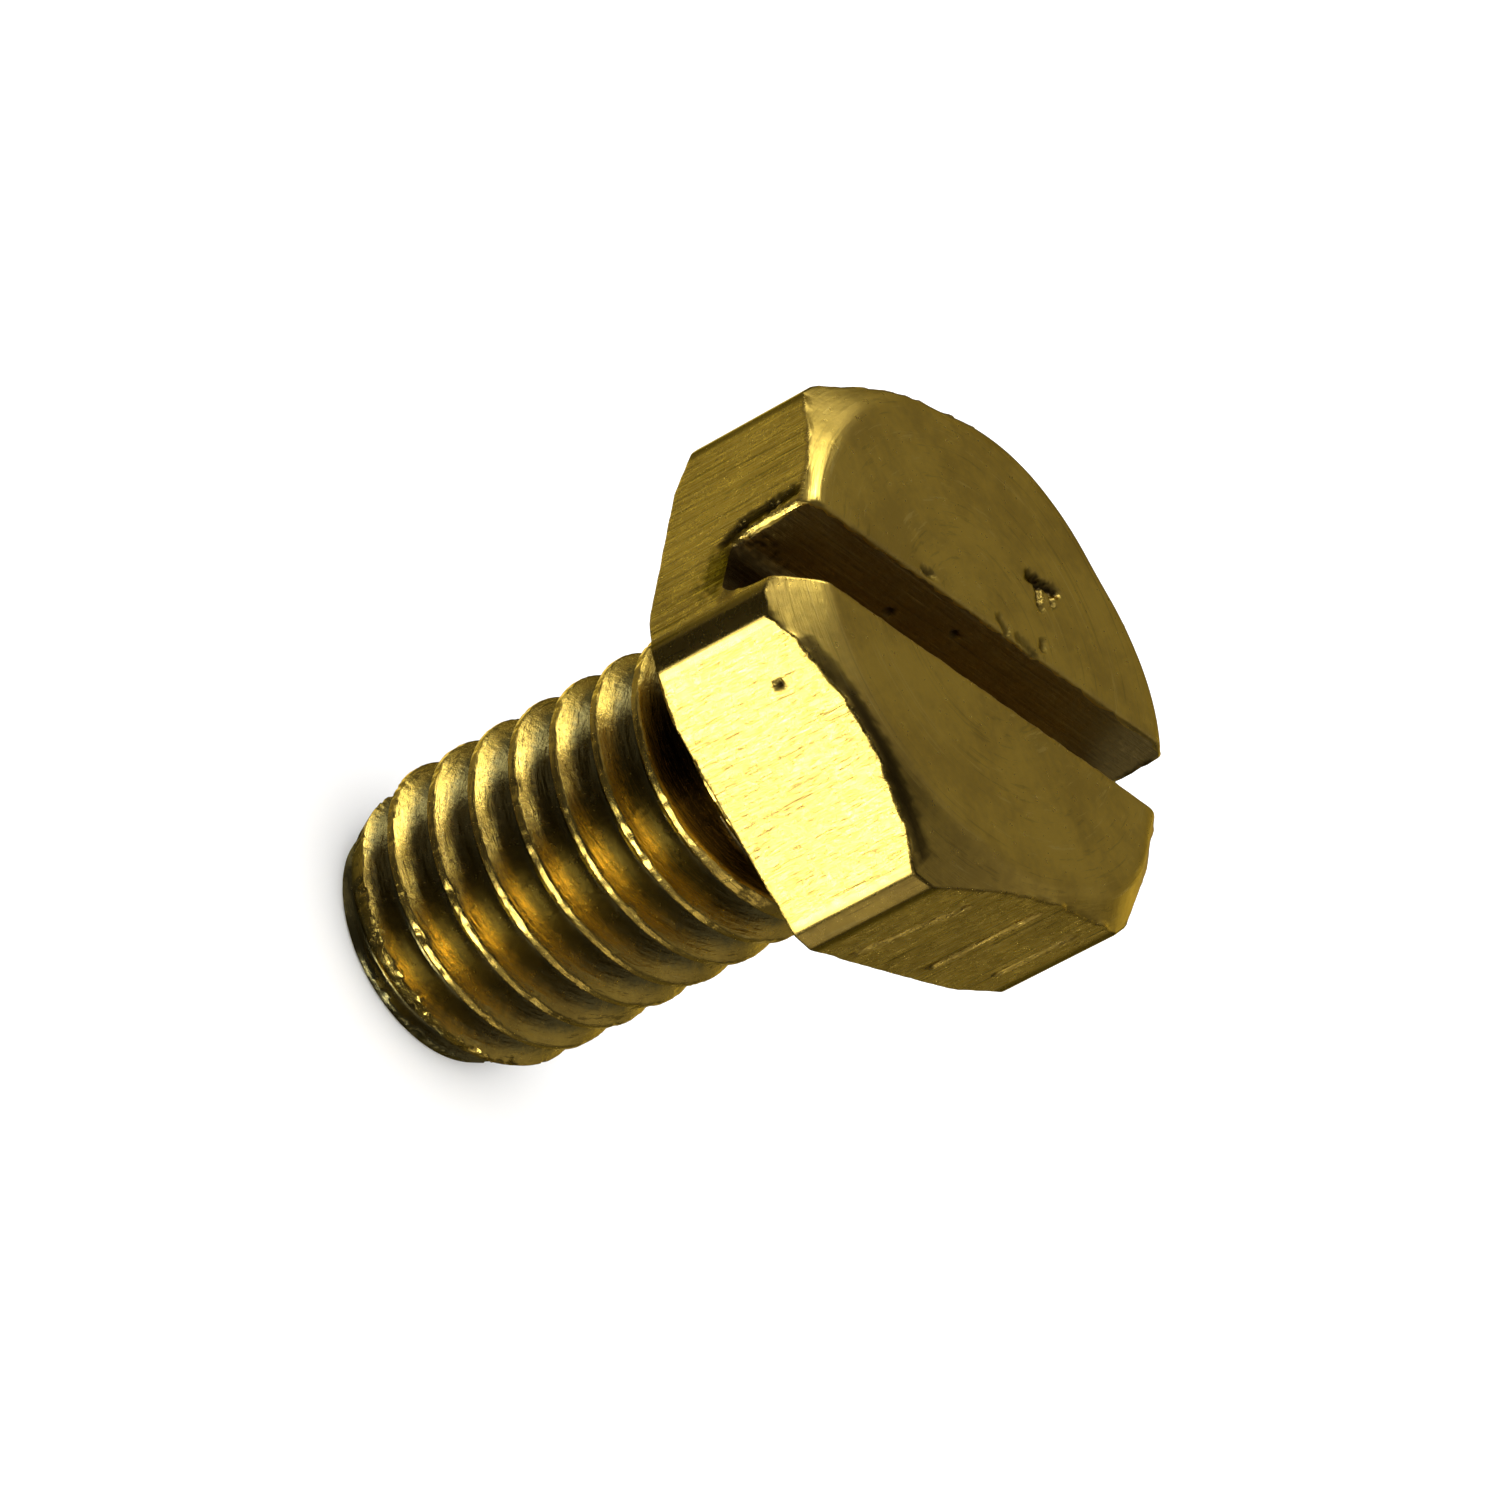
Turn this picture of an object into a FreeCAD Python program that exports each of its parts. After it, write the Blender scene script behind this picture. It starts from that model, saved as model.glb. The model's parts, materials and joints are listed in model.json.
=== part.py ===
import FreeCAD, Part
import os
import sys

import Sketcher

# A slotted hexagon-head machine screw, M6 x 10, turned, milled and threaded from one brass bar.
# Millimetres and degrees. The origin is the centre of the head's bearing face, on the screw's axis.
# +Z runs from there up through the head, and the threaded shank hangs down along -Z. One corner of
# the hexagon points along +X, so two of its flats face +Y and -Y.

SIZES = {
    "head_across_flats": 10.0,
    "head_height": 3.6,
    "head_corner_diameter": 11.3,  # the turned bar rounds the six corners to this
    "top_flat_diameter": 9.5,
    "top_chamfer_angle": 40.0,
    "bearing_diameter": 10.5,
    "bearing_chamfer_angle": 30.0,
    "slot_width": 1.6,
    "slot_depth": 1.8,
    "slot_offset": -0.28,  # the slot is milled a little off the axis
    "slot_direction": 42.6,
    "thread_diameter": 6.0,
    "thread_pitch": 1.0,
    "thread_flank_angle": 30.0,
    "thread_depth": 0.61,
    "thread_root_width": 0.17,
    "thread_lead_in": 1.42,  # how far below the tip the groove's centre line starts, over +X
    "thread_run_out": 1.17,  # how far below the head its centre line ends
    "shank_length": 10.0,
    "tip_diameter": 4.8,
    "tip_taper_length": 1.2,
    "cutter_reach": 0.5,  # how far a cut goes past the metal, so that none ends on a surface
    "thread_cutter_reach": 0.04,
}


def make_sheet(doc):
    """The driving dimensions, a row each: the name in column A and the value in column B."""
    sheet = doc.addObject("Spreadsheet::Sheet", "Sizes")
    for row, (name, value) in enumerate(SIZES.items(), start=1):
        sheet.set(f"A{row}", name)
        sheet.set(f"B{row}", str(value))
        sheet.setAlias(f"B{row}", name)
    doc.recompute()


def new_sketch(body, name, plane):
    """An empty sketch on one of the body's own origin planes, found by its role."""
    sketch = body.newObject("Sketcher::SketchObject", name)
    support = next(item for item in body.Origin.OriginFeatures if item.Role == plane)
    sketch.AttachmentSupport = [(support, "")]
    sketch.MapMode = "FlatFace"
    return sketch


def draw_outline(sketch, corners):
    """A closed outline of straight lines. Each corner is a pair of expressions, across and up."""
    places = []
    for across, up in corners:
        x = sketch.evalExpression(across)
        y = sketch.evalExpression(up)
        places.append(FreeCAD.Vector(float(x), float(y), 0))
    ends = places[1:] + places[:1]
    sketch.addGeometry([Part.LineSegment(start, end) for start, end in zip(places, ends)], False)
    for line, (expressions, place) in enumerate(zip(corners, places)):
        line_before = (line - 1) % len(corners)
        sketch.addConstraint(Sketcher.Constraint("Coincident", line_before, 2, line, 1))
        for kind, expression, value in zip(("DistanceX", "DistanceY"), expressions, place):
            distance = sketch.addConstraint(Sketcher.Constraint(kind, -1, 1, line, 1, value))
            sketch.setExpression(f"Constraints[{distance}]", expression)


def draw_circle(sketch, diameter):
    """A circle about the sketch's origin. The diameter is an expression."""
    value = float(sketch.evalExpression(diameter))
    centre, normal = FreeCAD.Vector(0, 0, 0), FreeCAD.Vector(0, 0, 1)
    circle = sketch.addGeometry(Part.Circle(centre, normal, value / 2), False)
    sketch.addConstraint(Sketcher.Constraint("Coincident", circle, 3, -1, 1))
    size = sketch.addConstraint(Sketcher.Constraint("Diameter", circle, value))
    sketch.setExpression(f"Constraints[{size}]", diameter)


def add_pad(body, name, sketch, length, downwards=False):
    """Material from the sketch's plane, as far as the expression says."""
    pad = body.newObject("PartDesign::Pad", name)
    pad.Profile = sketch
    pad.Reversed = downwards
    pad.setExpression("Length", length)


def turn_away(body, name, sketch):
    """A lathe cut: the outline, turned once round the screw's axis, is taken away."""
    groove = body.newObject("PartDesign::Groove", name)
    groove.Profile = sketch
    groove.ReferenceAxis = (sketch, ["V_Axis"])
    groove.Angle = 360.0


def make_head(body):
    """The hexagon bar, then the lathe cut that chamfers its two ends and rounds its corners."""
    hexagon = new_sketch(body, "HexagonSketch", "XY_Plane")
    corners = []
    for turn in range(0, 360, 60):
        corner_radius = "Sizes.head_across_flats / 2 / cos(30 deg)"
        corners.append((f"{corner_radius} * cos({turn} deg)", f"{corner_radius} * sin({turn} deg)"))
    draw_outline(hexagon, corners)
    add_pad(body, "HexagonBar", hexagon, "Sizes.head_height")

    land = "Sizes.head_corner_diameter / 2"
    outside = f"{land} + Sizes.cutter_reach"
    above = "Sizes.head_height + Sizes.cutter_reach"
    below = "-Sizes.cutter_reach"
    top_edge = "Sizes.top_flat_diameter / 2"
    top_slope = "tan(Sizes.top_chamfer_angle * 1 deg)"
    bearing_edge = "Sizes.bearing_diameter / 2"
    bearing_slope = "tan(Sizes.bearing_chamfer_angle * 1 deg)"
    outline = new_sketch(body, "HeadTurningSketch", "XZ_Plane")
    draw_outline(
        outline,
        [
            (f"{top_edge} - Sizes.cutter_reach / {top_slope}", above),
            (land, f"Sizes.head_height - ({land} - {top_edge}) * {top_slope}"),
            (land, f"({land} - {bearing_edge}) * {bearing_slope}"),
            (f"{bearing_edge} - Sizes.cutter_reach / {bearing_slope}", below),
            (outside, below),
            (outside, above),
        ],
    )
    turn_away(body, "HeadTurning", outline)


def make_shank(body):
    """The plain shank under the head, then the lathe cut that tapers its tip."""
    section = new_sketch(body, "ShankSketch", "XY_Plane")
    draw_circle(section, "Sizes.thread_diameter")
    add_pad(body, "ShankBar", section, "Sizes.shank_length", downwards=True)

    slope = "(Sizes.thread_diameter - Sizes.tip_diameter) / 2 / Sizes.tip_taper_length"
    widest = f"Sizes.thread_diameter / 2 + {slope} * Sizes.cutter_reach"
    lowest = "-Sizes.shank_length - Sizes.cutter_reach"
    outline = new_sketch(body, "TipTurningSketch", "XZ_Plane")
    draw_outline(
        outline,
        [
            (widest, "Sizes.tip_taper_length + Sizes.cutter_reach - Sizes.shank_length"),
            (f"Sizes.tip_diameter / 2 - {slope} * Sizes.cutter_reach", lowest),
            (widest, lowest),
        ],
    )
    turn_away(body, "TipTurning", outline)


def cut_thread(body):
    """A right-hand 60 degree groove on a helix, from below the tip to a little under the head."""
    root = "Sizes.thread_diameter / 2 - Sizes.thread_depth"
    outside = "Sizes.thread_diameter / 2 + Sizes.thread_cutter_reach"
    half_root = "Sizes.thread_root_width / 2"
    flank_rise = "(Sizes.thread_depth + Sizes.thread_cutter_reach) * tan(Sizes.thread_flank_angle * 1 deg)"
    middle = "-Sizes.shank_length - Sizes.thread_lead_in"
    outline = new_sketch(body, "ThreadSketch", "XZ_Plane")
    draw_outline(
        outline,
        [
            (root, f"{middle} - {half_root}"),
            (outside, f"{middle} - {half_root} - {flank_rise}"),
            (outside, f"{middle} + {half_root} + {flank_rise}"),
            (root, f"{middle} + {half_root}"),
        ],
    )
    helix = body.newObject("PartDesign::SubtractiveHelix", "Thread")
    helix.Profile = outline
    helix.ReferenceAxis = (outline, ["V_Axis"])
    helix.Mode = "pitch-height-angle"
    helix.LeftHanded = False
    helix.setExpression("Pitch", "Sizes.thread_pitch")
    helix.setExpression("Height", "Sizes.shank_length + Sizes.thread_lead_in - Sizes.thread_run_out")


def cut_slot(body):
    """The screwdriver slot, milled straight across the top of the head."""
    sketch = new_sketch(body, "SlotSketch", "XY_Plane")
    sketch.setExpression("AttachmentOffset.Base.z", "Sizes.head_height")
    sketch.setExpression("AttachmentOffset.Rotation.Yaw", "Sizes.slot_direction * 1 deg")
    half_length = "Sizes.head_corner_diameter / 2 + Sizes.cutter_reach"
    low_wall = "Sizes.slot_offset - Sizes.slot_width / 2"
    high_wall = "Sizes.slot_offset + Sizes.slot_width / 2"
    draw_outline(
        sketch,
        [
            (f"-({half_length})", low_wall),
            (half_length, low_wall),
            (half_length, high_wall),
            (f"-({half_length})", high_wall),
        ],
    )
    pocket = body.newObject("PartDesign::Pocket", "Slot")
    pocket.Profile = sketch
    pocket.setExpression("Length", "Sizes.slot_depth")


def make_screw(doc):
    """The whole screw is one piece of metal, so it is one body."""
    body = doc.addObject("PartDesign::Body", "Screw")
    body.Label = "slotted_hex_screw"
    for step in (make_head, make_shank, cut_thread, cut_slot):
        step(body)
        doc.recompute()
        print(f"{step.__name__}: {body.Shape.Volume:.3f} mm3")
    body.Placement = FreeCAD.Placement()
    return body


def faults(doc, bodies):
    """What went wrong in the document: a failed object, or a piece with no valid solid."""
    found = [item.Name for item in doc.Objects if {"Invalid", "Error"} & set(item.State)]
    for body in bodies:
        shape = body.Shape
        if shape.isNull() or not shape.isValid() or len(shape.Solids) != 1:
            found.append(body.Label)
    return found


def main():
    doc = FreeCAD.newDocument("SlottedHexScrew")
    make_sheet(doc)
    bodies = [make_screw(doc)]
    doc.recompute()
    wrong = faults(doc, bodies)
    if wrong:
        sys.exit(f"not built: {', '.join(wrong)}")
    os.makedirs("parts", exist_ok=True)
    for body in bodies:
        body.Shape.exportStep(f"parts/{body.Label}.step")
        print(f"{body.Label}: {body.Shape.Volume:.3f} mm3, {len(body.Shape.Faces)} faces")


main()
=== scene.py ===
import json
import math

import bmesh
import bpy
import numpy as np
from mathutils import Matrix, Vector, geometry, noise


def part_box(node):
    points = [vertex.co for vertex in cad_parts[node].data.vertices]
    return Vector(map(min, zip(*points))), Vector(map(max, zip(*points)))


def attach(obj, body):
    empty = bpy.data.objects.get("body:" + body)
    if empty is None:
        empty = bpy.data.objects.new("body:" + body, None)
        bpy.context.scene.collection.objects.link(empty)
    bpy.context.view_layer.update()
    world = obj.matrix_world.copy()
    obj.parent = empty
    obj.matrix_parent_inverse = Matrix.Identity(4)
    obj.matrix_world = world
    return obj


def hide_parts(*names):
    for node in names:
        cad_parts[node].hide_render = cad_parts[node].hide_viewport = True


# The finished look of a slotted hexagon-head brass screw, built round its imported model.
# Lengths in this script are millimetres until a mesh is made, which is scaled to metres.

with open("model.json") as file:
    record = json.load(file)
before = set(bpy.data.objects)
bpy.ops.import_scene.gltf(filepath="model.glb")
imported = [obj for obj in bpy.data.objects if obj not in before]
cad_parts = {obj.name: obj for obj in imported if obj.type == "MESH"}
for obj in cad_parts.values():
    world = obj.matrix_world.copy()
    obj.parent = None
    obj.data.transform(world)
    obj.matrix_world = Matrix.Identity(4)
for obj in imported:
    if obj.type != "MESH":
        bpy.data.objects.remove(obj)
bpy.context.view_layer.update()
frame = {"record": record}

NODE = "slotted_hex_screw"
MM = 0.001
TURN = 2 * math.pi

node_low, node_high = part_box(NODE)
thread_mount = next(m for m in frame["record"]["mounts"] if m["name"] == "thread")

# The head and the shank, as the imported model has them, less a hair that keeps rounding errors
# inside its box.
HAIR = 0.001
HEAD_HEIGHT = node_high.z / MM - HAIR
TIP_Z = node_low.z / MM + HAIR
HALF_FLATS = node_high.y / MM - HAIR
LAND_RADIUS = node_high.x / MM - HAIR
THREAD_RADIUS = thread_mount["dims"]["r_mm"]
PITCH = 1.0
TOP_RADIUS = 4.75
TOP_SLOPE = math.tan(math.radians(40))
BEARING_RADIUS = 5.25
BEARING_SLOPE = math.tan(math.radians(30))
TIP_RADIUS = 2.4
TIP_TAPER = 1.2

SLOT_WIDTH = 1.6
SLOT_DEPTH = 1.8
SLOT_OFFSET = -0.28
SLOT_DIRECTION = math.radians(42.6)
SLOT_ALONG = Vector((math.cos(SLOT_DIRECTION), math.sin(SLOT_DIRECTION), 0))
SLOT_ACROSS = Vector((-math.sin(SLOT_DIRECTION), math.cos(SLOT_DIRECTION), 0))
SLOT_FLOOR = HEAD_HEIGHT - SLOT_DEPTH
SLOT_EDGE_ROUND = 0.09
SLOT_EDGE_SHARES = (0, 0.12, 0.35, 0.65, 1)  # where the rolled edge has its rows of vertices
SLOT_LEAN = 0.10
SLOT_ROUND = 0.32
SLOT_MESH = 0.12
SLOT_BAND = 0.6  # how far past its walls the slot's cuts reach

# The mesh's columns round the axis, and its rows on the head and on the flat end of the tip.
COLUMNS_PER_FLAT = 47
EDGE_BAND = 0.09  # how far from a flat's ends its even columns stop
EDGE_COLUMNS = (-0.05, -0.02, 0.01, 0.05)  # the close columns, from a flat's end outwards
BEARING_ROWS = 6
FLAT_ROWS = 26
CHAMFER_ROWS = 5
TOP_ROWS = 24
TIP_ROWS = 9
JOIN_WITHIN = 0.001
FOLD = math.radians(110)
UNFOLD_PASSES = 6

# The rounded corners, each by how far it reaches along the surfaces that meet there.
NECK_ROUND = 0.15
FOOT_ROUND = 0.04
BROW_ROUND = 0.05
RIM_ROUND = 0.2
TIP_ROUND = 0.13
LAND_SOFTNESS = 0.03

# The head was chamfered a little unevenly. These corners, each an angle and a half width in
# degrees, kept more of their height, and one flat has a wider and flatter chamfer.
FULL_CORNERS = ((4, 22), (60, 34), (119, 34), (165, 25))
FULL_CORNER = 0.22
WIDE_CHAMFER = 0.16
WIDE_CHAMFER_AT = (270, 50)
# The small chamfer under the head is missing at one corner and taller at another.
FOOT_HEIGHT = 0.03
UNCUT_FOOT_AT = (298, 28)
HIGH_FOOT_AT = (358, 16)
HIGH_FOOT = 0.1
FOOT_ROUGHNESS = 0.02
BROW_TEAR = 0.08  # how ragged the flats' top edges are
BROW_BLEND = 0.11  # how far up the chamfer that reaches
TIP_LEAN = 0.09  # how far the tip's end is off the axis
TIP_LEAN_ANGLE = math.radians(262)

# The thread's groove: a 60 degree V with a round root, whose centre line starts below the tip.
GROOVE_START_Z = TIP_Z - 1.42
GROOVE_APEX = 2.242  # where the straight flanks would meet
GROOVE_ROOT_ROUND = 0.145
FLANK_SLOPE = math.tan(math.radians(30))
RUN_OUT_FROM = 9.76  # in turns from the groove's start
RUN_OUT_TO = 9.98
RUN_OUT_LIFT = 0.64
CREST_SOFTNESS = 0.035
EDGE_ROUNDS = 12  # enough for the search in groove_edge to settle

# The thread's rows: where they start and end, their places across the groove and the crest as
# shares of each, and how near an end a row is laid onto it.
THREAD_LOW = TIP_Z + 0.16
THREAD_HIGH = -0.2
GROOVE_SHARES = (-1, -0.93, -0.75, -0.5, -0.28, -0.12, 0, 0.12, 0.28, 0.5, 0.75, 0.93, 1)
CREST_SHARES = (0.2, 0.5, 0.8)
FIRST_TURN, LAST_TURN = 0, 11
SNAP = 0.015

# Damage along the thread's crests: long shallow dents and small chips, deeper near the tip.
DENT_SIZE, DENT_DEPTH, DENT_LEAST = 0.55, 0.05, 0.12
CHIP_SIZE, CHIP_DEPTH, CHIP_LEAST = 0.16, 0.03, 0.1
TIP_CHIP_DEPTH = 0.13
TIP_DAMAGE_FROM, TIP_DAMAGE_OVER = 2.2, 1.6  # above the tip

FLAT, TOP, THREAD, SLOT = range(4)


def fractal(places, size, seed, octaves=3):
    """Smooth noise, one value for each place, mostly between -1 and 1. size is its largest feature."""
    shift = Vector((seed * 7.31, seed * 3.17, seed * 5.53))
    values = np.zeros(len(places))
    for i, place in enumerate(places):
        at = Vector(place) / size + shift
        values[i] = sum(noise.noise(at * 2**o) / 2**o for o in range(octaves))
    return values


def soft_min(a, b, softness):
    """The smaller of two values, with the crease where they cross rounded off."""
    share = np.clip(0.5 + 0.5 * (b - a) / softness, 0, 1)
    return b * (1 - share) + a * share - softness * share * (1 - share)


def hexagon_columns():
    """The angles of the mesh's columns: even along each flat, close together at its ends."""
    edge = math.sqrt(LAND_RADIUS**2 - HALF_FLATS**2)
    along_flat = np.linspace(-edge + EDGE_BAND, edge - EDGE_BAND, COLUMNS_PER_FLAT)
    near_edge = np.array(EDGE_COLUMNS)
    half_side = HALF_FLATS * math.tan(math.pi / 6)
    offsets = np.concatenate([[-half_side], -edge - near_edge[::-1], along_flat, edge + near_edge])
    one_side = np.arctan2(offsets, HALF_FLATS)
    columns = [one_side + math.pi / 6 + side * math.pi / 3 for side in range(6)]
    return np.sort(np.concatenate(columns) % TURN)


ANGLES = hexagon_columns()
COLUMNS = len(ANGLES)


def ring_places(radius, z):
    """One ring of mesh vertices: a radius and a height for each column."""
    radius = np.broadcast_to(radius, ANGLES.shape)
    z = np.broadcast_to(z, ANGLES.shape)
    return np.stack([radius * np.cos(ANGLES), radius * np.sin(ANGLES), z], axis=1)


def hexagon_radius():
    """How far the head's side is from the axis in each column, with its corners turned off."""
    from_middle = (ANGLES % (math.pi / 3)) - math.pi / 6
    return soft_min(HALF_FLATS / np.cos(from_middle), LAND_RADIUS, LAND_SOFTNESS)


def near_angle(degrees, width):
    """1 in the column at this angle round the axis, falling to 0 at width degrees from it."""
    apart = (np.degrees(ANGLES) - degrees + 180) % 360 - 180
    return np.maximum(0, 1 - (apart / width) ** 2) ** 2


def bend(before, corner, after, ease, steps):
    """The rings of a rounded corner. Each argument is a (radius, z) pair of arrays."""
    before, corner, after = (np.array(np.broadcast_arrays(*p)) for p in (before, corner, after))
    back = before - corner
    ahead = after - corner
    start = corner + back * np.minimum(ease / np.maximum(np.hypot(*back), 1e-6), 0.45)
    end = corner + ahead * np.minimum(ease / np.maximum(np.hypot(*ahead), 1e-6), 0.45)
    rings = []
    for s in np.linspace(0, 1, steps + 1):
        rings.append((1 - s) ** 2 * start + 2 * s * (1 - s) * corner + s**2 * end)
    return rings


def between(start, end, count):
    """Evenly spaced rings strictly between two rings."""
    return [start + (end - start) * i / (count + 1) for i in range(1, count + 1)]


def head_rings():
    """The head's rings, from the top of the shank out under the head, up its side and in again."""
    side = hexagon_radius()
    ragged = fractal(ring_places(side, 0.0), 0.3, 3)
    rough = fractal(ring_places(side, 5.0), 0.22, 4)
    spared = sum(FULL_CORNER * near_angle(degrees, width) for degrees, width in FULL_CORNERS)
    cut = 1 - near_angle(*UNCUT_FOOT_AT)
    low = FOOT_HEIGHT + np.maximum(0, side - BEARING_RADIUS) * BEARING_SLOPE * cut
    low = low + FOOT_ROUGHNESS * np.maximum(rough, -0.4) + HIGH_FOOT * near_angle(*HIGH_FOOT_AT)
    high = HEAD_HEIGHT - (side - TOP_RADIUS - spared) * TOP_SLOPE
    top_edge = TOP_RADIUS + spared - WIDE_CHAMFER * near_angle(*WIDE_CHAMFER_AT)
    zero = np.zeros(COLUMNS)
    shank_top = np.array([zero + THREAD_RADIUS, zero + THREAD_HIGH])
    root = np.array([zero + THREAD_RADIUS, zero])
    bearing = np.array([np.minimum(BEARING_RADIUS, side - 0.05), zero])
    foot = np.array([side, low])
    brow = np.array([side, high])
    torn_brow = np.array([side, high + BROW_TEAR * ragged])
    rim = np.array([np.minimum(top_edge, side - 0.08), zero + HEAD_HEIGHT])
    slope = rim - brow
    chamfer = brow + slope * np.minimum(BROW_BLEND / np.hypot(*slope), 0.45)
    middle = np.array([zero, zero + HEAD_HEIGHT])
    rings = []
    stretches = []

    def add(new, surface):
        rings.extend(new)
        stretches.extend([surface] * len(new))

    add(bend(shank_top, root, bearing, NECK_ROUND, 4), TOP)
    corner = bend(root, bearing, foot, FOOT_ROUND, 2)
    add(between(rings[-1], corner[0], BEARING_ROWS), TOP)
    add(corner, TOP)
    corner = bend(bearing, foot, brow, FOOT_ROUND, 3)
    add(corner, FLAT)
    above = bend(foot, torn_brow, chamfer, BROW_ROUND, 4)
    add(between(corner[-1], above[0], FLAT_ROWS), FLAT)
    add(above, FLAT)
    corner = bend(brow, rim, middle, RIM_ROUND, 6)
    add([chamfer] + between(chamfer, corner[0], CHAMFER_ROWS), TOP)
    add(corner, TOP)
    add(between(corner[-1], middle, TOP_ROWS), TOP)
    return rings, stretches


def outer_radius(z):
    """The shank before the thread is cut: parallel, then tapering to the tip."""
    share = np.clip((z - TIP_Z) / TIP_TAPER, 0, 1)
    end = TIP_RADIUS + TIP_LEAN * np.cos(ANGLES - TIP_LEAN_ANGLE)
    return end + (THREAD_RADIUS - end) * share


def groove_lift(turns):
    """How far the thread cutter has drawn back from full depth, after so many turns."""
    share = np.clip((turns - RUN_OUT_FROM) / (RUN_OUT_TO - RUN_OUT_FROM), 0, 1)
    return RUN_OUT_LIFT * share


def groove_radius(from_centre, lift):
    """The radius of the groove's wall at a height from its centre line."""
    flank = np.sqrt((from_centre / FLANK_SLOPE) ** 2 + GROOVE_ROOT_ROUND**2)
    return GROOVE_APEX + lift + flank


def groove_edge(turns, side):
    """How far above (side 1) or below (side -1) its centre line the groove meets the shank."""
    centre = GROOVE_START_Z + PITCH * turns
    lift = groove_lift(turns)
    reach = np.full_like(turns, 0.4)
    for _ in range(EDGE_ROUNDS):
        rise = outer_radius(centre + side * reach) - GROOVE_APEX - lift
        reach = FLANK_SLOPE * np.sqrt(np.maximum(rise**2 - GROOVE_ROOT_ROUND**2, 0))
        reach = np.where(rise < GROOVE_ROOT_ROUND, 0, reach)
    return reach


def cut_radius(radius, z):
    """A ring of the shank with the thread's groove cut into it."""
    turn = ANGLES / TURN
    nearest = turn + np.round((z - GROOVE_START_Z) / PITCH - turn)
    for neighbour in (-1, 0, 1):
        turns = nearest + neighbour
        wall = groove_radius(z - GROOVE_START_Z - PITCH * turns, groove_lift(turns))
        radius = soft_min(radius, wall, CREST_SOFTNESS)
    return radius


def tip_rings():
    """The flat end and its rounded edge, from the middle outwards and up to the thread."""
    zero = np.zeros(COLUMNS)
    thread_foot = np.array([outer_radius(zero + THREAD_LOW), zero + THREAD_LOW])
    edge = np.array([outer_radius(zero + TIP_Z), zero + TIP_Z])
    middle = np.array([zero, zero + TIP_Z])
    corner = bend(middle, edge, thread_foot, TIP_ROUND, 5)
    corner = [np.array([cut_radius(radius, z), z]) for radius, z in corner]
    return between(middle, corner[0], TIP_ROWS) + corner


def thread_rows():
    """The heights of the thread's rows in each column. They climb with the thread, so that its
    edges and its root lie on rows. Rows past either end are flattened onto it."""
    rows = [np.full(COLUMNS, THREAD_LOW)]
    for turn in range(FIRST_TURN, LAST_TURN + 1):
        turns = turn + ANGLES / TURN
        centre = GROOVE_START_Z + PITCH * turns
        below, above = groove_edge(turns, -1), groove_edge(turns, 1)
        next_edge = centre + PITCH - groove_edge(turns + 1, -1)
        for share in GROOVE_SHARES:
            rows.append(centre + share * np.where(share < 0, below, above))
        for share in CREST_SHARES:
            rows.append(centre + above + share * (next_edge - centre - above))
    rows.append(np.full(COLUMNS, THREAD_HIGH))
    rows = np.array(rows)
    rows[rows < THREAD_LOW + SNAP] = THREAD_LOW
    rows[rows > THREAD_HIGH - SNAP] = THREAD_HIGH
    return rows


def worn_outer_radius(z):
    """The shank's outside with dents along its crests, more of them near the tip."""
    places = ring_places(THREAD_RADIUS, z)
    dents = np.maximum(0, fractal(places, DENT_SIZE, 11) - DENT_LEAST)
    chips = np.maximum(0, fractal(places, CHIP_SIZE, 12, octaves=2) - CHIP_LEAST)
    near_tip = np.clip((TIP_Z + TIP_DAMAGE_FROM - z) / TIP_DAMAGE_OVER, 0, 1)
    chip_depth = CHIP_DEPTH + TIP_CHIP_DEPTH * near_tip
    return outer_radius(z) - DENT_DEPTH * dents - chip_depth * chips


class Skin:
    """The vertices, faces and surface kinds of one mesh."""

    def __init__(self):
        self.places = []
        self.faces = []
        self.kinds = []

    def add_ring(self, places):
        first = len(self.places)
        self.places.extend(places)
        return np.arange(first, first + len(places))

    def add_face(self, corners, kind):
        kept = [c for i, c in enumerate(corners) if c != corners[i - 1]]
        if len(set(kept)) >= 3:
            self.faces.append(kept)
            self.kinds.append(kind)

    def join(self, lower, upper, kind):
        for j in range(COLUMNS):
            k = (j + 1) % COLUMNS
            self.add_face([lower[j], lower[k], upper[k], upper[j]], kind)

    def close(self, ring, place, kind, upwards):
        middle = self.add_ring([place])[0]
        for j in range(COLUMNS):
            k = (j + 1) % COLUMNS
            corners = [ring[j], ring[k], middle] if upwards else [ring[k], ring[j], middle]
            self.add_face(corners, kind)


def thread_places(z):
    """The places of one row of the thread."""
    return ring_places(cut_radius(worn_outer_radius(z), z), z)


def add_thread(skin, foot):
    """The thread's strip of rows. foot is the ring under it; the ring above it is returned."""
    rows = thread_rows()
    count = len(rows)
    ids = np.zeros((count, COLUMNS), int)
    ids[0] = foot
    top = skin.add_ring(thread_places(rows[-1]))
    ids[-1] = top
    for i in range(1, count - 1):
        ring = skin.add_ring(thread_places(rows[i]))
        ids[i] = np.where(rows[i] <= THREAD_LOW, foot, np.where(rows[i] >= THREAD_HIGH, top, ring))
    # After the last column the rows have climbed a whole turn, so they meet the first column's
    # rows of the next turn.
    per_turn = len(GROOVE_SHARES) + len(CREST_SHARES)
    for j in range(COLUMNS):
        here = ids[:, j]
        if j + 1 < COLUMNS:
            there = ids[:, j + 1]
        else:
            past_end = np.full(per_turn, top[0])
            there = np.concatenate([[foot[0]], ids[1 + per_turn :, 0], past_end])
        for i in range(count - 1):
            skin.add_face([here[i], there[i], there[i + 1], here[i + 1]], THREAD)
    return top


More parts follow.
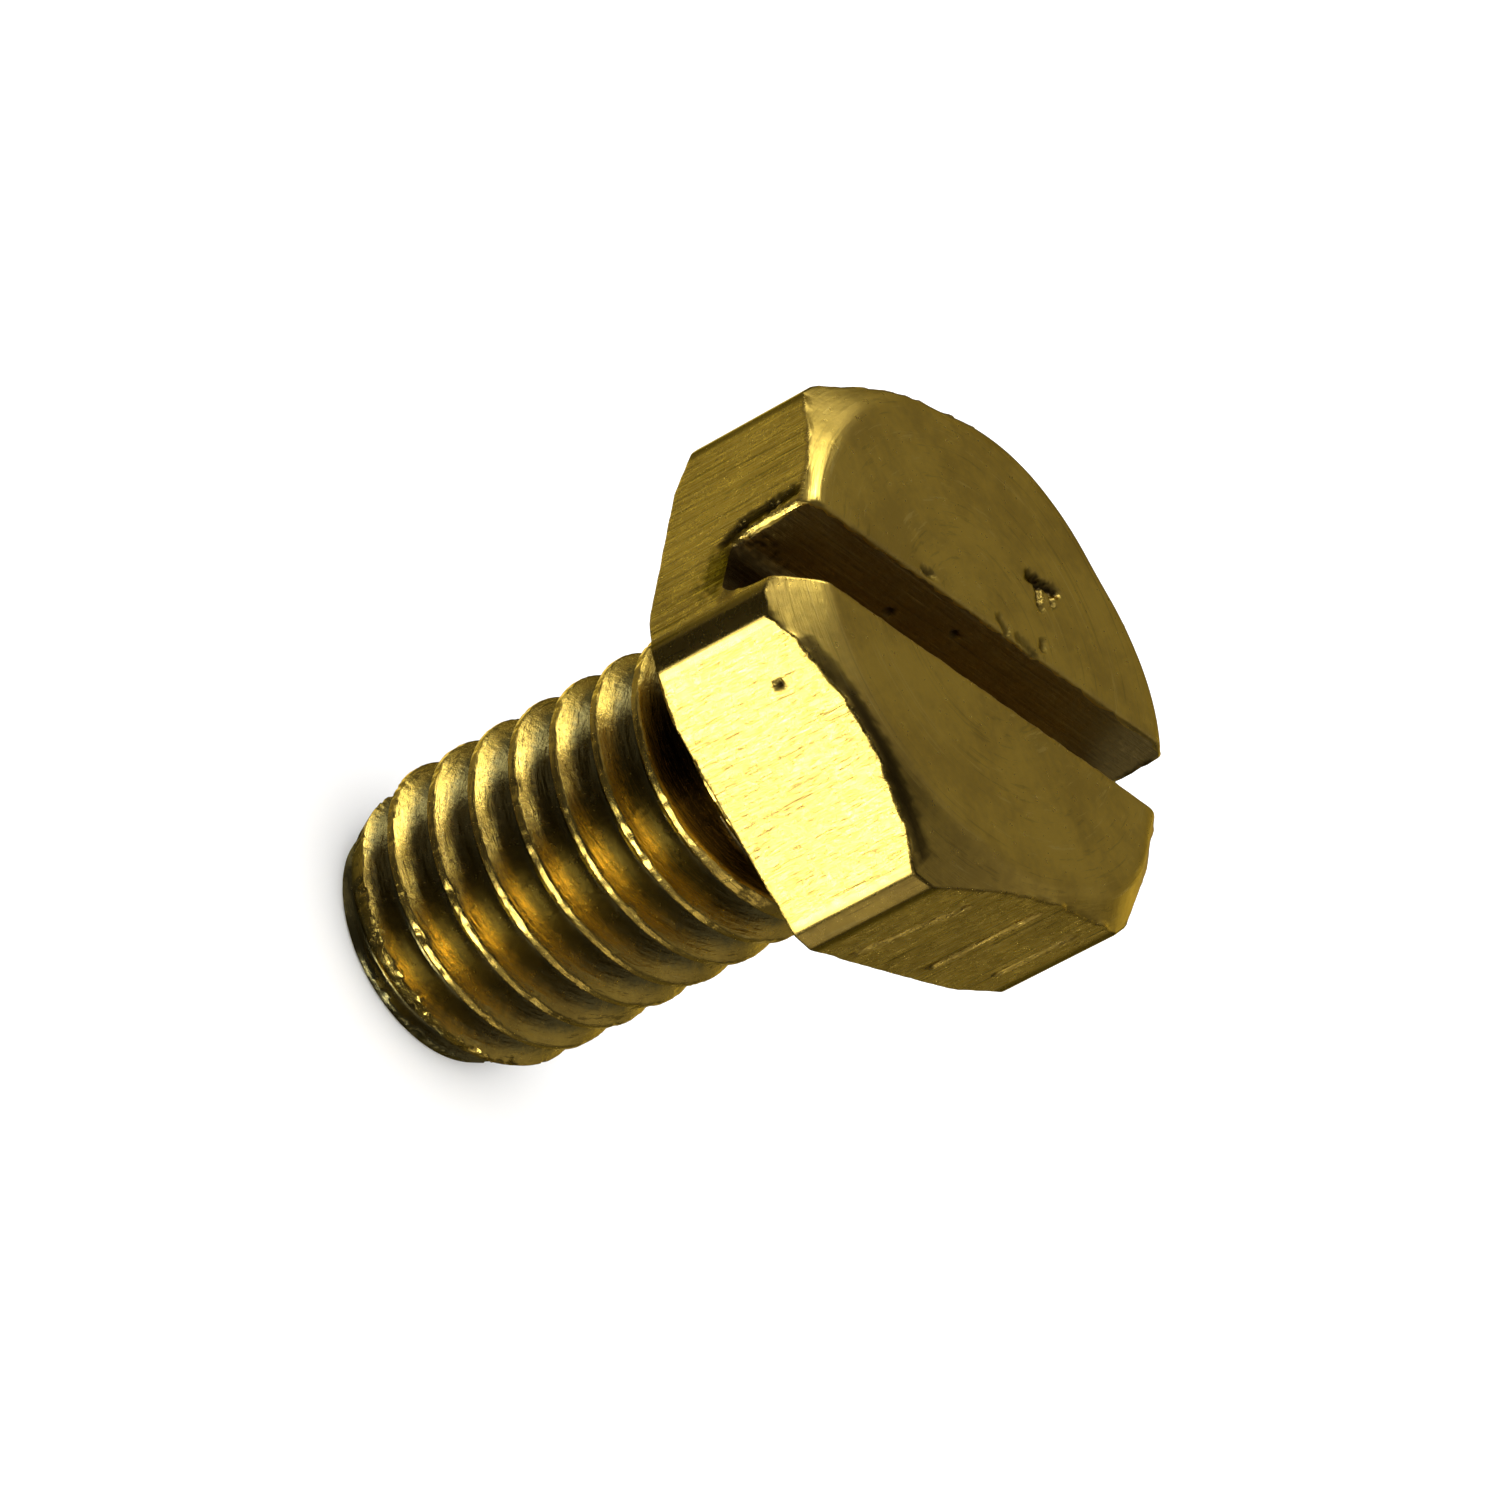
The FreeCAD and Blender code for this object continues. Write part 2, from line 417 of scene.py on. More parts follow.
def screw_skin():
    """The whole screw before its slot is cut, as one closed skin from the tip up to the top."""
    skin = Skin()
    rings = tip_rings()
    ring = skin.add_ring(ring_places(*rings[0]))
    skin.close(ring, (0, 0, TIP_Z), TOP, upwards=False)
    for radius, z in rings[1:]:
        above = skin.add_ring(ring_places(radius, z))
        on_flat_end = z[0] < TIP_Z + 0.01
        skin.join(ring, above, TOP if on_flat_end else THREAD)
        ring = above
    ring = add_thread(skin, ring)
    rings, kinds = head_rings()
    for (radius, z), kind in zip(rings, kinds):
        above = skin.add_ring(ring_places(radius, z))
        skin.join(ring, above, kind)
        ring = above
    skin.close(ring, (0, 0, HEAD_HEIGHT), TOP, upwards=True)
    return skin


def across_slot(place):
    """How far a place is from the slot's middle plane."""
    return place.dot(SLOT_ACROSS) - SLOT_OFFSET


def slot_place(along, across, z):
    """The place this far along the slot, this far from its middle plane and at this height."""
    return SLOT_ALONG * along + SLOT_ACROSS * (SLOT_OFFSET + across) + Vector((0, 0, z))


def near_slot(place, reach):
    """Is a place in the head within reach of the slot's middle plane?"""
    return place.z > SLOT_FLOOR - 0.3 and abs(across_slot(place)) < reach


def slice_faces(bm, faces, point, normal):
    """Cuts these faces along a plane and leaves both sides."""
    sliced = list(faces)
    sliced += {edge for face in faces for edge in face.edges}
    sliced += {vert for face in faces for vert in face.verts}
    bmesh.ops.bisect_plane(bm, geom=sliced, dist=1e-4, plane_co=point, plane_no=normal)


def cut_slot(bm):
    """Mills the slot: cuts the skin along it, takes the strip out, rounds the edges and closes it."""
    half = SLOT_WIDTH / 2
    for side in (-1, 1):
        for share in SLOT_EDGE_SHARES:
            offset = SLOT_OFFSET + side * (half + share * SLOT_EDGE_ROUND)
            near = [f for f in bm.faces if near_slot(f.calc_center_median(), half + SLOT_BAND)]
            slice_faces(bm, near, SLOT_ACROSS * offset, SLOT_ACROSS)
    inside = [f for f in bm.faces if near_slot(f.calc_center_median(), half)]
    slice_faces(bm, inside, Vector((0, 0, SLOT_FLOOR)), Vector((0, 0, 1)))
    removed = [
        f for f in bm.faces
        if near_slot(f.calc_center_median(), half) and f.calc_center_median().z > SLOT_FLOOR
    ]
    bmesh.ops.delete(bm, geom=removed, context="FACES")
    bm.normal_update()
    round_slot_edges(bm)
    close_slot(bm)


def round_slot_edges(bm):
    """Rolls the surface over into the slot's walls, unevenly, as a saw leaves it."""
    half = SLOT_WIDTH / 2
    band = [
        v for v in bm.verts
        if near_slot(v.co, half + SLOT_EDGE_ROUND) and v.co.z > SLOT_FLOOR + 0.001
        and abs(across_slot(v.co)) > half - 0.001
    ]
    chips = fractal([v.co for v in band], 0.3, 5, octaves=4)
    for vert, chip in zip(band, chips):
        left = SLOT_EDGE_ROUND - max(0, abs(across_slot(vert.co)) - half)
        drop = SLOT_EDGE_ROUND - math.sqrt(max(0, SLOT_EDGE_ROUND**2 - left**2))
        outward = vert.normal - SLOT_ACROSS * vert.normal.dot(SLOT_ACROSS)
        above_floor = min(1, (vert.co.z - SLOT_FLOOR) / 0.3)
        vert.co -= outward.normalized() * drop * above_floor * (1 + 0.9 * chip)


def walk(edges, start, end):
    """The vertices along a chain of edges, from start to end."""
    chain = [start]
    left = set(edges)
    while chain[-1] is not end:
        edge = next(e for e in chain[-1].link_edges if e in left)
        left.remove(edge)
        chain.append(edge.other_vert(chain[-1]))
    return chain


def fill_patch(bm, rim, flatten, lift):
    """Fills a flat outline with small triangles. flatten gives a place's two coordinates in the
    patch's own plane, and lift turns them back into a place."""
    outline = [Vector(flatten(v.co)) for v in rim]
    low = [min(p[i] for p in outline) for i in (0, 1)]
    high = [max(p[i] for p in outline) for i in (0, 1)]
    inner = []
    columns = int((high[0] - low[0]) / SLOT_MESH)
    rows = int((high[1] - low[1]) / SLOT_MESH)
    for i in range(1, columns + 1):
        for j in range(1, rows + 1):
            spot = Vector((low[0] + (i + 0.5 * (j % 2)) * SLOT_MESH, low[1] + j * SLOT_MESH))
            if min((spot - p).length for p in outline) > 0.55 * SLOT_MESH:
                inner.append(spot)
    count = len(outline)
    edges = [(i, (i + 1) % count) for i in range(count)]
    found = geometry.delaunay_2d_cdt(outline + inner, edges, [], 1, 1e-6)
    made = []
    for place, sources in zip(found[0], found[3]):
        first = min(sources) if sources else count
        made.append(rim[first] if 0 <= first < count else bm.verts.new(lift(place)))
    for corners in found[2]:
        bm.faces.new([made[i] for i in corners]).material_index = SLOT


def close_slot(bm):
    """The slot's two walls and its floor, which share the cut skin's vertices."""
    rim = [e for e in bm.edges if e.is_boundary]
    floor_ends = [e for e in rim if all(abs(v.co.z - SLOT_FLOOR) < 1e-3 for v in e.verts)]
    walls = {}
    corners = {}
    for side in (-1, 1):
        on_wall = [e for e in rim if e not in floor_ends and across_slot(e.verts[0].co) * side > 0]
        walls[side] = on_wall
        ends = [v for e in on_wall for v in e.verts if sum(x in on_wall for x in v.link_edges) == 1]
        corners[side] = sorted(ends, key=lambda v: v.co.dot(SLOT_ALONG))
    low_edges = {side: floor_edge(bm, *corners[side]) for side in (-1, 1)}
    for side in (-1, 1):
        start, end = corners[side]
        outline = walk(walls[side], start, end) + low_edges[side][-2:0:-1]
        wall = across_slot(start.co)
        fill_patch(
            bm, outline, lambda p: (p.dot(SLOT_ALONG), p.z),
            lambda q, wall=wall: slot_place(q[0], wall, q[1]),
        )
    near = walk(floor_ends, corners[-1][0], corners[1][0])
    far = walk(floor_ends, corners[1][1], corners[-1][1])
    outline = near[:-1] + low_edges[1][:-1] + far[:-1] + low_edges[-1][:0:-1]
    fill_patch(
        bm, outline, lambda p: (p.dot(SLOT_ALONG), across_slot(p)),
        lambda q: slot_place(q[0], q[1], SLOT_FLOOR),
    )
    bmesh.ops.recalc_face_normals(bm, faces=bm.faces)


def floor_edge(bm, start, end):
    """New vertices along the bottom of a wall, from one mouth of the slot to the other."""
    count = int((end.co - start.co).length / SLOT_MESH)
    inner = [bm.verts.new(start.co.lerp(end.co, i / count)) for i in range(1, count)]
    return [start] + inner + [end]


def shape_slot(bm):
    """Leans the slot's walls in towards its floor and rounds its bottom corners, as a worn saw
    leaves them."""
    half = SLOT_WIDTH / 2
    for vert in bm.verts:
        v = across_slot(vert.co)
        height = vert.co.z - SLOT_FLOOR
        if abs(v) > half + 0.02 or height < -0.001 or height > SLOT_DEPTH + 0.01:
            continue
        side = 1 if v > 0 else -1
        on_wall = height > 0.001
        from_corner = height if on_wall else half - abs(v)
        lean = SLOT_LEAN * (1 - min(1, height / SLOT_DEPTH)) * min(1, abs(v) / half)
        shift, rise = lean, 0
        if from_corner < SLOT_ROUND:
            angle = math.pi / 4 * (1 - from_corner / SLOT_ROUND)
            away = SLOT_ROUND * (1 - math.cos(angle))
            along = SLOT_ROUND * (1 - math.sin(angle)) - from_corner
            shift += away if on_wall else along
            rise = along if on_wall else away
        vert.co -= SLOT_ACROSS * side * shift
        vert.co.z += rise


# Marks of use and of the tools: strokes from one place to another, each with its width, its
# depth, and how much grime and painted shade it holds. A stroke with no depth is only colour on the
# surface: grime on some, and painted shade on others.
STROKES = (
    ((-0.68, 2.52, 3.6), (-0.40, 2.76, 3.6), 0.17, 0.09, 1.0),
    ((-0.45, 2.72, 3.6), (-0.14, 3.06, 3.6), 0.15, 0.09, 1.0),
    ((-0.50, 2.60, 3.6), (-0.08, 2.30, 3.6), 0.11, 0.07, 0.9),
    ((-0.28, 2.92, 3.6), (0.00, 2.74, 3.6), 0.10, 0.07, 0.9),
    ((-1.45, -5.0, 2.35), (-1.42, -5.0, 2.34), 0.10, 0.09, 1.0),
    ((-0.34, 0.78, 3.6), (-0.06, 0.78, 3.6), 0.13, 0.045, 0.7),
    ((0.15, 1.04, 3.6), (0.52, 1.24, 3.6), 0.12, 0.04, 0.6),
    ((0.46, 1.72, 3.6), (0.58, 1.60, 3.6), 0.10, 0.05, 0.8),
    ((-1.80, -0.72, 3.6), (-1.68, -0.58, 3.6), 0.12, 0.07, 0.8),
    ((-1.49, -0.67, 2.56), (-1.44, -0.62, 2.50), 0.12, 0.08, 1.0),
    ((-0.52, 0.23, 2.97), (-0.46, 0.28, 2.92), 0.11, 0.08, 1.0),
    ((-4.01, -3.05, 1.66), (-4.15, -2.81, 2.00), 0.18, 0.05, 1.0),
    ((-4.15, -2.81, 2.00), (-4.20, -2.73, 2.72), 0.20, 0.05, 1.0),
    ((-4.20, -2.73, 2.72), (-4.23, -2.67, 3.15), 0.20, 0.05, 1.0),
    # Painted shade on the slot's floor at its near mouth, where it meets the flat.
    ((-3.60, -3.65, 1.85), (-2.80, -2.95, 1.85), 0.75, 0.0, 1.0),
    ((3.51, 3.93, 1.90), (3.50, 3.90, 3.10), 0.16, 0.0, 1.0),
    # Painted shade along the top edge of the bright flat, where its chamfer is dark.
    ((-1.90, -4.86, 3.20), (-0.70, -4.86, 3.45), 0.17, 0.0, 0.8),
    ((-0.70, -4.86, 3.45), (0.44, -4.86, 3.47), 0.17, 0.0, 0.9),
    ((0.44, -4.86, 3.47), (1.62, -4.84, 3.27), 0.18, 0.0, 0.9),
    ((1.62, -4.84, 3.27), (2.40, -4.78, 3.02), 0.18, 0.0, 0.9),
    ((3.49, -3.96, 0.35), (3.70, -3.58, 2.60), 0.10, 0.045, 0.0),
    ((4.48, -2.25, 0.55), (4.51, -2.19, 2.95), 0.11, 0.050, 0.0),
    ((5.25, -0.91, 0.90), (5.28, -0.86, 2.60), 0.10, 0.045, 0.0),
)

# Places that wear has rounded: a middle, a reach and a number of passes.
WORN_CORNERS = (
    ((-4.10, -2.95, 3.40), 0.45, 8),
    ((-4.05, -2.98, 2.80), 0.40, 8),
    ((-3.98, -3.05, 2.20), 0.35, 6),
    ((-3.30, -4.30, 3.20), 0.55, 10),
    ((-3.30, -4.30, 2.60), 0.40, 6),
    ((3.05, 3.05, 3.50), 0.50, 5),
    ((3.90, 2.40, 3.40), 0.50, 5),
)


def refine(bm, middle, reach):
    """Splits the faces near a place, so that a small mark there has a shape."""
    edges = {e for v in bm.verts if (v.co - middle).length < reach for e in v.link_edges}
    bmesh.ops.subdivide_edges(bm, edges=list(edges), cuts=1, use_grid_fill=True)


def mark(bm):
    """Presses the strokes into the surface and records their grime and painted shade."""
    for start, end, width, depth, _ in STROKES:
        if depth == 0:
            continue
        start, end = Vector(start), Vector(end)
        refine(bm, (start + end) / 2, (end - start).length / 2 + width)
    bm.normal_update()
    moves = []
    grime = bm.verts.layers.float.new("grime")
    for start, end, width, depth, dirt_and_shade in STROKES:
        start, end = Vector(start), Vector(end)
        near = [v for v in bm.verts if (v.co - start).length < (end - start).length + width]
        for vert in near:
            _, share = geometry.intersect_point_line(vert.co, start, end)
            nearest = start.lerp(end, min(1, max(0, share)))
            ragged = 1 + 0.5 * noise.noise(vert.co * 9)
            hold = max(0, 1 - ((vert.co - nearest).length / (width * ragged)) ** 2)
            moves.append((vert, vert.normal * (-depth * hold**1.5)))
            vert[grime] = max(vert[grime], dirt_and_shade * hold**0.5)
    for vert, move in moves:
        vert.co += move


def smooth(bm, verts):
    """Moves each vertex half way to the middle of its neighbours."""
    bmesh.ops.smooth_vert(
        bm, verts=verts, factor=0.5, use_axis_x=True, use_axis_y=True, use_axis_z=True,
    )


def wear(bm):
    """Rounds the worn corners by drawing each vertex towards its neighbours."""
    for middle, reach, passes in WORN_CORNERS:
        near = [v for v in bm.verts if (v.co - Vector(middle)).length < reach]
        for _ in range(passes):
            smooth(bm, near)


def join_near(bm):
    """Joins vertices that share a place, which drops the faces between them that have no area,
    and deletes the vertices that no face uses."""
    bmesh.ops.remove_doubles(bm, verts=bm.verts, dist=JOIN_WITHIN)
    bmesh.ops.dissolve_degenerate(bm, edges=bm.edges, dist=JOIN_WITHIN)
    loose = [v for v in bm.verts if not v.link_faces]
    bmesh.ops.delete(bm, geom=loose, context="VERTS")


def unfold(bm):
    """Smooths the few places where a mark has folded the surface sharply back on itself."""
    for _ in range(UNFOLD_PASSES):
        bm.normal_update()
        folded = {v for e in bm.edges if e.calc_face_angle(0) > FOLD for v in e.verts}
        smooth(bm, list(folded))


def make_screw():
    """The screw's finished mesh, in metres, with a material index on each face for its kind of surface."""
    skin = screw_skin()
    mesh = bpy.data.meshes.new("screw_body")
    mesh.from_pydata([tuple(p) for p in skin.places], [], skin.faces)
    mesh.polygons.foreach_set("material_index", skin.kinds)
    bm = bmesh.new()
    bm.from_mesh(mesh)
    join_near(bm)
    cut_slot(bm)
    shape_slot(bm)
    wear(bm)
    mark(bm)
    join_near(bm)
    unfold(bm)
    bmesh.ops.scale(bm, vec=(MM, MM, MM), verts=bm.verts)
    bm.to_mesh(mesh)
    bm.free()
    mesh.shade_smooth()
    mesh.set_sharp_from_angle(angle=math.radians(50))
    screw = bpy.data.objects.new("screw_body", mesh)
    bpy.context.scene.collection.objects.link(screw)
    return screw


screw = make_screw()


class Nodes:
    """Builds a node tree: each call adds one node, and sets or links its inputs."""

    def __init__(self, tree):
        self.tree = tree

    def add(self, kind, output=0, settings=None, **inputs):
        made = self.tree.nodes.new("ShaderNode" + kind)
        for key, value in (settings or {}).items():
            setattr(made, key, value)
        for key, value in inputs.items():
            socket = made.inputs[int(key[1:]) if key[0] == "_" else key.replace("_", " ")]
            if isinstance(value, bpy.types.NodeSocket):
                self.tree.links.new(value, socket)
            else:
                socket.default_value = value
        return made.outputs[output]

    def math(self, operation, first, second=0.0, third=0.0):
        settings = {"operation": operation}
        return self.add("Math", settings=settings, _0=first, _1=second, _2=third)

    def vector(self, operation, first, second=(0, 0, 0)):
        settings = {"operation": operation}
        output = 1 if operation in ("DOT_PRODUCT", "LENGTH") else 0
        return self.add("VectorMath", output, settings, _0=first, _1=second)

    def ramp(self, value, low, high, start=0.0, end=1.0):
        """A smooth step of value between low and high."""
        settings = {"interpolation_type": "SMOOTHSTEP"}
        return self.add(
            "MapRange", 0, settings, Value=value,
            From_Min=low, From_Max=high, To_Min=start, To_Max=end,
        )

    def noise(self, place, scale, detail=3.0, roughness=0.55):
        return self.add("TexNoise", 0, None, Vector=place, Scale=scale, Detail=detail, Roughness=roughness)

    def mix(self, share, first, second):
        return self.add("Mix", 2, {"data_type": "RGBA"}, _0=share, _6=first, _7=second)


BRASS = (0.80, 0.53, 0.10, 1)
DULL_BRASS = (0.60, 0.39, 0.08, 1)
BRIGHT_BRASS = (0.92, 0.68, 0.20, 1)
# A dark colour for grime, and for painted shade.
GRIME_AND_SHADE = (0.05, 0.031, 0.011, 1)
# Down the thread's groove: tarnish, darkened further as painted shade.
ROOT_TARNISH_AND_SHADE = (0.22, 0.175, 0.065, 1)
# The slot's colour, darker all over: painted shade in its recess.
SLOT_SHADED_BRASS = (0.36, 0.26, 0.10, 1)
EDGE_TINT = (1.0, 0.80, 0.35, 1)
ROUGHNESS = {FLAT: 0.20, TOP: 0.22, THREAD: 0.17, SLOT: 0.30}
MARK_DEPTH = {FLAT: 0.036, TOP: 0.012, THREAD: 0.022, SLOT: 0.045}
STREAKS = {FLAT: 0.55, TOP: 0.20, THREAD: 0.5, SLOT: 0.5}
# The smooth lands on the hexagon's corners: the radii between which they begin, how much painted shade
# darkens them, and what share of the flats' tool marks they have.
LAND_EDGE = (5.50, 5.61)
LAND_SHADE = 0.6
LAND_MARKS = 0.12
# The thread: the radii between which its groove goes dull and darker, partly tarnish and partly
# painted shade, and the heights and radii between which the groove under the head is painted with shade.
GROOVE_TARNISH_AND_SHADE = (3.04, 2.74)
NECK_SHADE_Z = (-2.6, -1.9)
NECK_SHADE_RADIUS = (2.97, 2.90)
NECK_SHADE = 0.93


def from_axis(nodes, place):
    """How far a place is from the screw's axis."""
    return nodes.vector("LENGTH", nodes.vector("MULTIPLY", place, (1, 1, 0)))


def height_up(nodes, place):
    """A place's height above the bearing face."""
    return nodes.add("SeparateXYZ", 2, None, _0=place)


def grain_place(nodes, kind, place):
    """Coordinates that change slowly along a surface's tool marks and fast across them."""
    if kind == FLAT:
        return nodes.vector("MULTIPLY", place, (1, 1, 0.035))
    if kind == SLOT:
        along = nodes.vector("DOT_PRODUCT", place, tuple(SLOT_ALONG))
        across = nodes.vector("DOT_PRODUCT", place, tuple(SLOT_ACROSS))
        along = nodes.math("MULTIPLY", along, 0.05)
        return nodes.add("CombineXYZ", 0, None, X=across, Y=height_up(nodes, place), Z=along)
    around = nodes.vector("NORMALIZE", nodes.vector("MULTIPLY", place, (1, 1, 0)))
    around = nodes.vector("MULTIPLY", around, (0.35, 0.35, 0))
    across = nodes.add(
        "CombineXYZ", 0, None, X=from_axis(nodes, place), Y=0.0, Z=height_up(nodes, place),
    )
    return nodes.vector("ADD", across, around)


def thread_tarnish_and_shade(nodes, place, speck, colour):
    """The thread's colour: duller down its groove, partly tarnish and partly painted shade, and painted
    shade in the groove next to the head.
    """
    radius = from_axis(nodes, place)
    depth = nodes.math("MULTIPLY_ADD", speck, 0.3, radius)
    # Tarnish and painted shade: the groove darkens towards its root.
    colour = nodes.mix(nodes.ramp(depth, *GROOVE_TARNISH_AND_SHADE), colour, ROOT_TARNISH_AND_SHADE)
    # Painted shade in the groove under the head, where the head shades the shank.
    neck_shade = nodes.ramp(height_up(nodes, place), *NECK_SHADE_Z, 0.0, NECK_SHADE)
    neck_shade = nodes.math("MULTIPLY", neck_shade, nodes.ramp(radius, *NECK_SHADE_RADIUS))
    return nodes.mix(neck_shade, colour, GRIME_AND_SHADE)


def make_brass(name, kind):
    """Bare brass with the marks of the tool that cut it, tarnish, grime where it settles, and painted
    shade in the slot, down the thread's groove, under the head, on the hexagon's lands and along some
    strokes.
    """
    material = bpy.data.materials.new(name)
    material.use_nodes = True
    nodes = Nodes(material.node_tree)
    shader = material.node_tree.nodes["Principled BSDF"]
    place = nodes.add("TexCoord", 3)
    place = nodes.vector("MULTIPLY", place, (1 / MM, 1 / MM, 1 / MM))
    grain = grain_place(nodes, kind, place)

    fine = nodes.noise(grain, 9.0, 4.0, 0.7)
    coarse = nodes.noise(grain, 3.0, 2.0, 0.5)
    cloud = nodes.noise(place, 0.7, 4.0, 0.6)
    speck = nodes.noise(place, 5.0, 3.0, 0.6)

    tarnish = nodes.ramp(nodes.math("MULTIPLY_ADD", speck, 0.35, cloud), 0.52, 0.86)
    colour = nodes.mix(tarnish, BRASS, DULL_BRASS)
    streak = nodes.ramp(fine, 0.42, 0.36)
    colour = nodes.mix(nodes.math("MULTIPLY", streak, STREAKS[kind]), colour, GRIME_AND_SHADE)
    shine = nodes.ramp(fine, 0.60, 0.68)
    colour = nodes.mix(nodes.math("MULTIPLY", shine, 0.5), colour, BRIGHT_BRASS)
    mark_depth = MARK_DEPTH[kind] * MM
    if kind == THREAD:
        colour = thread_tarnish_and_shade(nodes, place, speck, colour)
    if kind == SLOT:
        # Painted shade over the whole slot.
        colour = nodes.mix(0.8, colour, SLOT_SHADED_BRASS)
    if kind == FLAT:
        land = nodes.ramp(from_axis(nodes, place), *LAND_EDGE)
        # Painted shade darkens the smooth lands on the hexagon's corners.
        colour = nodes.mix(nodes.math("MULTIPLY", land, LAND_SHADE), colour, GRIME_AND_SHADE)
        mark_depth = nodes.math("MULTIPLY", nodes.ramp(land, 0.0, 1.0, 1.0, LAND_MARKS), mark_depth)
    # Grime in marks and dents, and painted shade along some strokes.
    dirt_and_shade = nodes.add("Attribute", 2, {"attribute_name": "grime"})
    colour = nodes.mix(dirt_and_shade, colour, GRIME_AND_SHADE)
    height = nodes.math("MULTIPLY_ADD", coarse, 0.7, fine)
    grit = nodes.noise(place, 7.0, 2.0, 0.6)
    height = nodes.math("MULTIPLY_ADD", speck, 0.3, height)
    height = nodes.math("MULTIPLY_ADD", grit, 0.25, height)
    roughness = nodes.math("MULTIPLY_ADD", speck, 0.16, ROUGHNESS[kind])
    bump = nodes.add("Bump", 0, None, Height=height, Distance=mark_depth, Strength=1.0)
    shader.inputs["Metallic"].default_value = 1.0
    shader.inputs["Specular Tint"].default_value = EDGE_TINT
    for socket, value in (("Base Color", colour), ("Roughness", roughness), ("Normal", bump)):
        material.node_tree.links.new(value, shader.inputs[socket])
    return material


for surface_name, surface in (
    ("drawn_flats", FLAT), ("turned_faces", TOP), ("cut_thread", THREAD), ("sawn_slot", SLOT),
):
    screw.data.materials.append(make_brass(surface_name, surface))
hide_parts(NODE)
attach(screw, "root")

# Where the camera stands: it looks down on the head from the front, tipped far over to its left.
CAMERA_AIM = Vector((-0.385, 0, -1.87)) * MM
CAMERA_AZIMUTH = math.radians(-3.03)
CAMERA_ELEVATION = math.radians(31.1)
CAMERA_DISTANCE = 178.9 * MM
CAMERA_ROLL = math.radians(62.0)
CAMERA_SENSOR = 36.0
CAMERA_LENS = 235.2
FLOOR_HALF = 1.5  # metres


def make_camera():
    """The scene's camera."""
    data = bpy.data.cameras.new("camera")
    data.sensor_width = CAMERA_SENSOR
    data.lens = CAMERA_LENS
    data.clip_start = 0.001
    camera = bpy.data.objects.new("camera", data)
    bpy.context.scene.collection.objects.link(camera)
    level = math.cos(CAMERA_ELEVATION)
    back = Vector((
        math.sin(CAMERA_AZIMUTH) * level,
        -math.cos(CAMERA_AZIMUTH) * level,
        math.sin(CAMERA_ELEVATION),
    ))
    upright = (-back).to_track_quat("-Z", "Y").to_matrix()
    rolled = upright @ Matrix.Rotation(CAMERA_ROLL, 3, "Z")
    camera.matrix_world = Matrix.Translation(CAMERA_AIM + back * CAMERA_DISTANCE) @ rolled.to_4x4()
    bpy.context.scene.camera = camera


def make_floor():
    """A plain white floor that the tip of the screw stands on."""
    mesh = bpy.data.meshes.new("floor")
    half = FLOOR_HALF
    corners = [(-half, -half, 0), (half, -half, 0), (half, half, 0), (-half, half, 0)]
    mesh.from_pydata(corners, [], [(0, 1, 2, 3)])
    floor = bpy.data.objects.new("floor", mesh)
    floor.location.z = TIP_Z * MM
    bpy.context.scene.collection.objects.link(floor)
    material = bpy.data.materials.new("floor")
    material.use_nodes = True
    shader = material.node_tree.nodes["Principled BSDF"]
    shader.inputs["Base Color"].default_value = (0.9, 0.9, 0.9, 1)
    shader.inputs["Roughness"].default_value = 1.0
    mesh.materials.append(material)
    floor.visible_glossy = False


make_camera()
make_floor()

